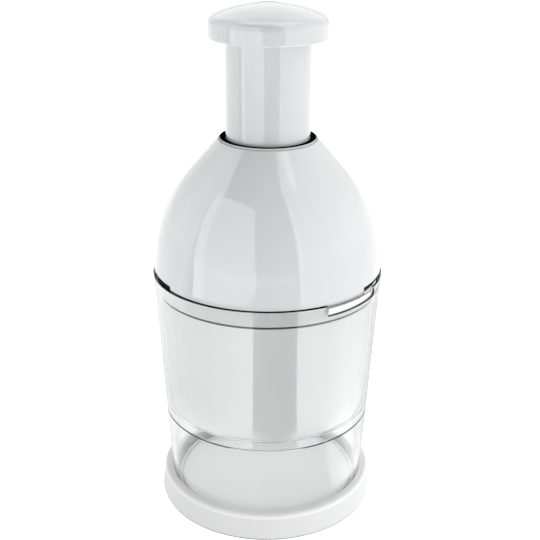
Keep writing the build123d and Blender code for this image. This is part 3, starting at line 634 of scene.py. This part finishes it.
floor_finish, tree, shader = start_material("light table", Roughness=0.9)
shader.inputs["Emission Color"].default_value = (1.0, 1.0, 1.0, 1.0)
path = add_node(tree, "ShaderNodeLightPath")
straight = path.outputs["Is Camera Ray"]
spread = remap(tree, path.outputs["Diffuse Depth"], 0, 1)
spot = object_point(tree)
reach = add_node(tree, "ShaderNodeVectorMath", {0: spot}, operation="LENGTH").outputs["Value"]
close, near, far = [light_round(tree, spot, stops) for stops in (FLOOR_CLOSE, FLOOR_NEAR, FLOOR_FAR)]
inner = mix_colours(tree, remap(tree, reach, *CLOSE_FADES), close, near)
mirrored = mix_colours(tree, remap(tree, reach, *FAR_FADES), inner, far)
glow = remap(tree, spread, 0, 1, mirrored, FLOOR_GLOW_SPREAD)
tree.links.new(remap(tree, straight, 0, 1, glow, FLOOR_GLOW_SEEN), shader.inputs["Emission Strength"])
plain = add_node(tree, "ShaderNodeMath", {0: straight, 1: spread}, operation="MAXIMUM").outputs[0]
tree.links.new(mix_colours(tree, plain, FLOOR_BLACK, FLOOR_PALE), shader.inputs["Base Color"])
angles = [2 * math.pi * step / FLOOR_SIDES for step in range(FLOOR_SIDES)]
flat_piece("floor", [(FLOOR_RADIUS * math.cos(angle), FLOOR_RADIUS * math.sin(angle), 0) for angle in angles],
           floor_finish)
print("floor laid,", 2 * FLOOR_RADIUS, "m across")

# %% [markdown]
# ## Soft studio light
#
# White gloss shows whatever stands round it. A tall softbox on the left, brighter along its outer edge,
# draws the pale panel on the dome. A narrow one on the right draws the thin line beside the dark band, and
# one behind lights the top of the knob. These are only mirrored; the fills and the lamp overhead give the
# soft light. One big light could do both jobs, but then neither could be set without the other. A softbox
# is an area light; its power is worked out from the brightness that its face should have.


# %% Hang the softboxes
def softbox(name, start, end, distance, bottom, top, brightness, seen=True, roll=0.0):
    """A softbox between two directions, in degrees from the camera towards the right, facing the axis.
    One that is seen draws only reflections, and one that isn't gives only its soft light."""
    middle = math.radians((start + end) / 2)
    width = 2 * distance * math.tan(math.radians((end - start) / 2))
    light = bpy.data.lights.new(name, "AREA")
    light.shape = "RECTANGLE"
    light.size = width
    light.size_y = top - bottom
    light.energy = brightness * math.pi * width * (top - bottom)
    lamp = bpy.data.objects.new(name, light)
    lamp.location = (distance * math.sin(middle), -distance * math.cos(middle), (bottom + top) / 2)
    lamp.rotation_euler = (math.pi / 2, -math.radians(roll), middle)
    lamp.visible_camera = False
    lamp.visible_diffuse = not seen
    lamp.visible_glossy = seen
    scene.collection.objects.link(lamp)


LEFT_ROLL = 7.0
OVERHEAD_SIZE = 0.9
OVERHEAD_BRIGHTNESS = 0.9
OVERHEAD_PLACE = (0.1, 0.1, 1.1)

softbox("softbox left edge", start=-77, end=-66, distance=0.445, bottom=0.0, top=0.66, brightness=0.6,
        roll=LEFT_ROLL)
softbox("softbox left", start=-77, end=-13, distance=0.45, bottom=0.0, top=0.66, brightness=1.2,
        roll=LEFT_ROLL)
softbox("fill front", start=-45, end=45, distance=0.6, bottom=0.0, top=0.45, brightness=0.85, seen=False)
softbox("fill left", start=-110, end=-45, distance=0.45, bottom=0.02, top=0.60, brightness=0.25, seen=False)
softbox("softbox right edge", start=31, end=34, distance=0.45, bottom=0.0, top=0.66, brightness=0.5)
softbox("softbox back", start=140, end=220, distance=1.0, bottom=0.5, top=1.4, brightness=0.3)
overhead = bpy.data.lights.new("overhead", "AREA")
overhead.size = OVERHEAD_SIZE
overhead.energy = OVERHEAD_BRIGHTNESS * math.pi * OVERHEAD_SIZE ** 2
overhead_lamp = bpy.data.objects.new("overhead", overhead)
overhead_lamp.location = OVERHEAD_PLACE
overhead_lamp.visible_camera = False
scene.collection.objects.link(overhead_lamp)
print("softboxes hung")

# %% [markdown]
# ## The room
#
# The room is a ramp of brightness over the bearing. It is bright on both sides and behind, and dark where
# the camera stands, which draws the dark band down the middle of every glossy piece. A picture of a studio
# could stand here too, but a ramp needs no file. A black flag lies on the table towards the camera: it is
# met only by mirrored and bent rays, and keeps the band going down the clear hopper.

# %% Light the room
ROOM = [(-180, 0.95), (-130, 0.95), (-105, 1.4), (-82, 1.2), (-79, 0.03), (30, 0.03), (33, 1.3), (100, 1.4),
        (150, 0.9), (180, 0.95)]
BACKDROP_WHITE = (1.0, 1.0, 1.0)

world = bpy.data.worlds.new("room")
world.use_nodes = True
scene.world = world
tree = world.node_tree
backdrop = tree.nodes["Background"]
straight = add_node(tree, "ShaderNodeLightPath").outputs["Is Camera Ray"]
skyward = add_node(tree, "ShaderNodeTexCoord").outputs["Generated"]
room = light_round(tree, skyward, ROOM)
tree.links.new(mix_colours(tree, straight, room, BACKDROP_WHITE), backdrop.inputs["Color"])
scene.view_settings.view_transform = "Standard"
print("room lit")

# %% Lay the flag
FLAG = [(-12.5, 0.112), (28, 0.112), (28, 0.35), (31, 0.5), (31, 1.5), (-77, 1.5), (-77, 0.42),
        (-12.5, 0.42)]
FLAG_BLACK = (0.01, 0.01, 0.01, 1.0)
FLAG_LIFT = 0.001

flag_finish, tree, shader = start_material("flag", Roughness=1.0)
shader.inputs["Base Color"].default_value = FLAG_BLACK
flag_corners = []
for degrees, reach in FLAG:
    angle = math.radians(degrees)
    flag_corners.append((reach * math.sin(angle), -reach * math.cos(angle), FLAG_LIFT))
flag = flat_piece("flag", flag_corners, flag_finish)
flag.visible_camera = flag.visible_diffuse = flag.visible_shadow = False
print("flag laid,", len(FLAG), "corners")

# %% [markdown]
# ## The size
#
# Dressing must not change the chopper's size.

# %% The end
print("chopper dressed")
